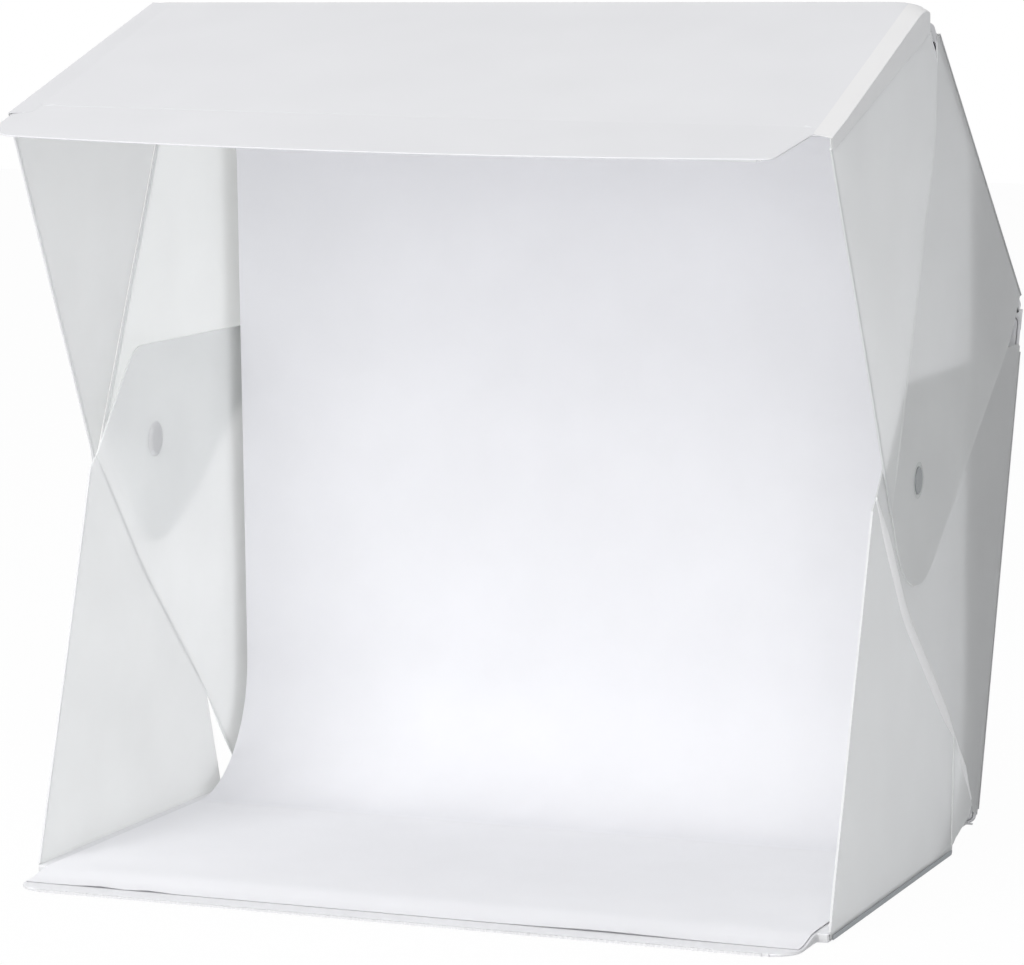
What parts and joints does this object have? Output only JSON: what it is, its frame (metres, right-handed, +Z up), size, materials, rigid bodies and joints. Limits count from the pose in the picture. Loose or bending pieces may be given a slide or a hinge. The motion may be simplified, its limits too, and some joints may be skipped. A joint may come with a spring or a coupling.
{
  "type": "folding light tent cube",
  "caption": "Open-fronted folding photo tent: white hinged base, bent two-panel back and sloping top, frosted magnet-closed side sheets, hanging white sweep and a light bar under the top.",
  "frame": {"origin": "centre of the bounding box on the surface that the base stands on", "axes": "+X to the right as seen from the open front, +Y to the back, +Z up; the open front faces -Y"},
  "size_m": [0.3824, 0.3948, 0.3986],
  "materials": {
    "base_sheet_lower": "white polypropylene film, fine matte grain",
    "base_board": "stiff grey-white board, hidden between the films",
    "base_sheet_upper": "white polypropylene film, fine matte grain",
    "base_front_weld": "frosted white film, satin",
    "spine_film": "frosted white film, satin",
    "spine_hinge_bead": "frosted white film, satin",
    "base_band_left": "clear frosted film band, welded",
    "base_band_right": "clear frosted film band, welded",
    "sweep_floor": "smooth white backdrop film, matte",
    "lower_back_skin": "white polypropylene film, fine matte grain",
    "lower_back_board": "stiff grey-white board, hidden between the films",
    "lower_back_liner": "white reflective film, matte",
    "middle_hinge_strip": "frosted white film, satin",
    "lower_back_band_left": "clear frosted film band, welded",
    "lower_back_band_right": "clear frosted film band, welded",
    "upper_back_skin": "white polypropylene film, fine matte grain",
    "upper_back_board": "stiff grey-white board, hidden between the films",
    "upper_back_liner": "white reflective film, matte",
    "top_hinge_strip": "frosted white film, satin",
    "upper_back_band_left": "clear frosted film band, welded",
    "upper_back_band_right": "clear frosted film band, welded",
    "sweep_head": "smooth white backdrop film, matte",
    "sweep_pad_left": "grey hook tape",
    "sweep_pad_right": "grey hook tape",
    "top_skin": "white polypropylene film, fine matte grain",
    "top_board": "stiff grey-white board, hidden between the films",
    "top_liner": "white reflective film, matte",
    "top_lip": "white polypropylene film, fine matte grain",
    "top_band_left": "clear frosted film band, welded",
    "top_band_right": "clear frosted film band, welded",
    "light_bar_channel": "satin anodised",
    "light_bar_chips": "white circuit strip with raised light chips",
    "light_bar_cover": "milky diffuser, satin",
    "light_bar_cap_left": "white end cap",
    "light_bar_cap_right": "white end cap",
    "light_bar_pad_left": "grey foam tape",
    "light_bar_pad_right": "grey foam tape",
    "power_inlet": "black barrel inlet with a centre pin",
    "upper_front_film_left": "frosted translucent white film, satin",
    "upper_rear_film_left": "frosted translucent white film, satin",
    "upper_magnet_left": "nickel-plated disc magnet, satin",
    "lower_front_film_left": "frosted translucent white film, satin",
    "lower_rear_film_left": "frosted translucent white film, satin",
    "lower_magnet_left": "nickel-plated disc magnet, satin",
    "upper_front_film_right": "frosted translucent white film, satin",
    "upper_rear_film_right": "frosted translucent white film, satin",
    "upper_magnet_right": "nickel-plated disc magnet, satin",
    "lower_front_film_right": "frosted translucent white film, satin",
    "lower_rear_film_right": "frosted translucent white film, satin",
    "lower_magnet_right": "nickel-plated disc magnet, satin",
    "sweep_drop": "smooth white backdrop film, matte"
  },
  "bodies": {
    "base": {"base_sheet_lower": "base_sheet_lower", "base_board": "base_board", "base_sheet_upper": "base_sheet_upper", "base_front_weld": "base_front_weld", "spine_film": "spine_film", "spine_hinge_bead": "spine_hinge_bead", "base_band_left": "base_band_left", "base_band_right": "base_band_right", "sweep_floor": "sweep_floor"},
    "lower_back": {"lower_back_skin": "lower_back_skin", "lower_back_board": "lower_back_board", "lower_back_liner": "lower_back_liner", "middle_hinge_strip": "middle_hinge_strip", "lower_back_band_left": "lower_back_band_left", "lower_back_band_right": "lower_back_band_right"},
    "upper_back": {"upper_back_skin": "upper_back_skin", "upper_back_board": "upper_back_board", "upper_back_liner": "upper_back_liner", "top_hinge_strip": "top_hinge_strip", "upper_back_band_left": "upper_back_band_left", "upper_back_band_right": "upper_back_band_right", "sweep_head": "sweep_head", "sweep_pad_left": "sweep_pad_left", "sweep_pad_right": "sweep_pad_right"},
    "top": {"top_skin": "top_skin", "top_board": "top_board", "top_liner": "top_liner", "top_lip": "top_lip", "top_band_left": "top_band_left", "top_band_right": "top_band_right", "light_bar_channel": "light_bar_channel", "light_bar_chips": "light_bar_chips", "light_bar_cover": "light_bar_cover", "light_bar_cap_left": "light_bar_cap_left", "light_bar_cap_right": "light_bar_cap_right", "light_bar_pad_left": "light_bar_pad_left", "light_bar_pad_right": "light_bar_pad_right", "power_inlet": "power_inlet"},
    "upper_front_side_left": {"upper_front_film_left": "upper_front_film_left"},
    "upper_rear_side_left": {"upper_rear_film_left": "upper_rear_film_left", "upper_magnet_left": "upper_magnet_left"},
    "lower_front_side_left": {"lower_front_film_left": "lower_front_film_left"},
    "lower_rear_side_left": {"lower_rear_film_left": "lower_rear_film_left", "lower_magnet_left": "lower_magnet_left"},
    "upper_front_side_right": {"upper_front_film_right": "upper_front_film_right"},
    "upper_rear_side_right": {"upper_rear_film_right": "upper_rear_film_right", "upper_magnet_right": "upper_magnet_right"},
    "lower_front_side_right": {"lower_front_film_right": "lower_front_film_right"},
    "lower_rear_side_right": {"lower_rear_film_right": "lower_rear_film_right", "lower_magnet_right": "lower_magnet_right"},
    "sweep_hanging": {"sweep_drop": "sweep_drop"}
  },
  "joints": [
    {"name": "fold", "type": "hinge", "parent": "base", "child": "lower_back", "pos_m": [0, 0.12134, 0.0075], "axis": [1, 0, 0], "range_deg": [0, 103], "deforming": ["upper_front_film_left", "upper_front_film_right", "upper_rear_film_left", "upper_rear_film_right", "lower_front_film_left", "lower_front_film_right", "lower_rear_film_left", "lower_rear_film_right", "sweep_drop"]},
    {"name": "middle_hinge", "type": "hinge", "parent": "lower_back", "child": "upper_back", "pos_m": [0, 0.19693, 0.25219], "axis": [-1, 0, 0], "range_deg": [0, 245.8]},
    {"name": "top_hinge", "type": "hinge", "parent": "upper_back", "child": "top", "pos_m": [0, -0.00007, 0.39292], "axis": [1, 0, 0], "range_deg": [0, 123]},
    {"name": "upper_front_side_hinge_left", "type": "hinge", "parent": "top", "child": "upper_front_side_left", "pos_m": [-0.1897, -0.00061, 0.39475], "axis": [0, -0.9588, -0.284], "range_deg": [0, 88.5]},
    {"name": "upper_rear_side_hinge_left", "type": "hinge", "parent": "upper_back", "child": "upper_rear_side_left", "pos_m": [-0.1897, 0.19384, 0.24813], "axis": [0, -0.7965, 0.6046], "range_deg": [0, 88.7]},
    {"name": "lower_front_side_hinge_left", "type": "hinge", "parent": "base", "child": "lower_front_side_left", "pos_m": [-0.1886, -0.13366, 0.0043], "axis": [0, 1, 0], "range_deg": [0, 89]},
    {"name": "lower_rear_side_hinge_left", "type": "hinge", "parent": "lower_back", "child": "lower_rear_side_left", "pos_m": [-0.1886, 0.12317, 0.00699], "axis": [0, 0.2689, 0.9632], "range_deg": [0, 88.5]},
    {"name": "upper_front_side_hinge_right", "type": "hinge", "parent": "top", "child": "upper_front_side_right", "pos_m": [0.1897, -0.00061, 0.39475], "axis": [0, 0.9588, 0.284], "range_deg": [0, 88.5]},
    {"name": "upper_rear_side_hinge_right", "type": "hinge", "parent": "upper_back", "child": "upper_rear_side_right", "pos_m": [0.1897, 0.19384, 0.24813], "axis": [0, 0.7965, -0.6046], "range_deg": [0, 87.2]},
    {"name": "lower_front_side_hinge_right", "type": "hinge", "parent": "base", "child": "lower_front_side_right", "pos_m": [0.1886, -0.13366, 0.0043], "axis": [0, -1, 0], "range_deg": [0, 88]},
    {"name": "lower_rear_side_hinge_right", "type": "hinge", "parent": "lower_back", "child": "lower_rear_side_right", "pos_m": [0.1886, 0.12317, 0.00699], "axis": [0, -0.2689, -0.9632], "range_deg": [0, 87.5]},
    {"name": "sweep_bend", "type": "hinge", "parent": "upper_back", "child": "sweep_hanging", "pos_m": [0, 0.06961, 0.34022], "axis": [1, 0, 0], "range_deg": [0, 46]}
  ],
  "couplings": [
    {"joint": "middle_hinge", "follows": "fold", "ratio": 2.3864},
    {"joint": "top_hinge", "follows": "fold", "ratio": 1.1942},
    {"joint": "upper_front_side_hinge_left", "follows": "fold", "ratio": 0.85922},
    {"joint": "upper_rear_side_hinge_left", "follows": "fold", "ratio": 0.86116},
    {"joint": "lower_front_side_hinge_left", "follows": "fold", "ratio": 0.86408},
    {"joint": "lower_rear_side_hinge_left", "follows": "fold", "ratio": 0.85922},
    {"joint": "upper_front_side_hinge_right", "follows": "fold", "ratio": 0.85922},
    {"joint": "upper_rear_side_hinge_right", "follows": "fold", "ratio": 0.8466},
    {"joint": "lower_front_side_hinge_right", "follows": "fold", "ratio": 0.85437},
    {"joint": "lower_rear_side_hinge_right", "follows": "fold", "ratio": 0.84951},
    {"joint": "sweep_bend", "follows": "fold", "ratio": 0.4466}
  ]
}
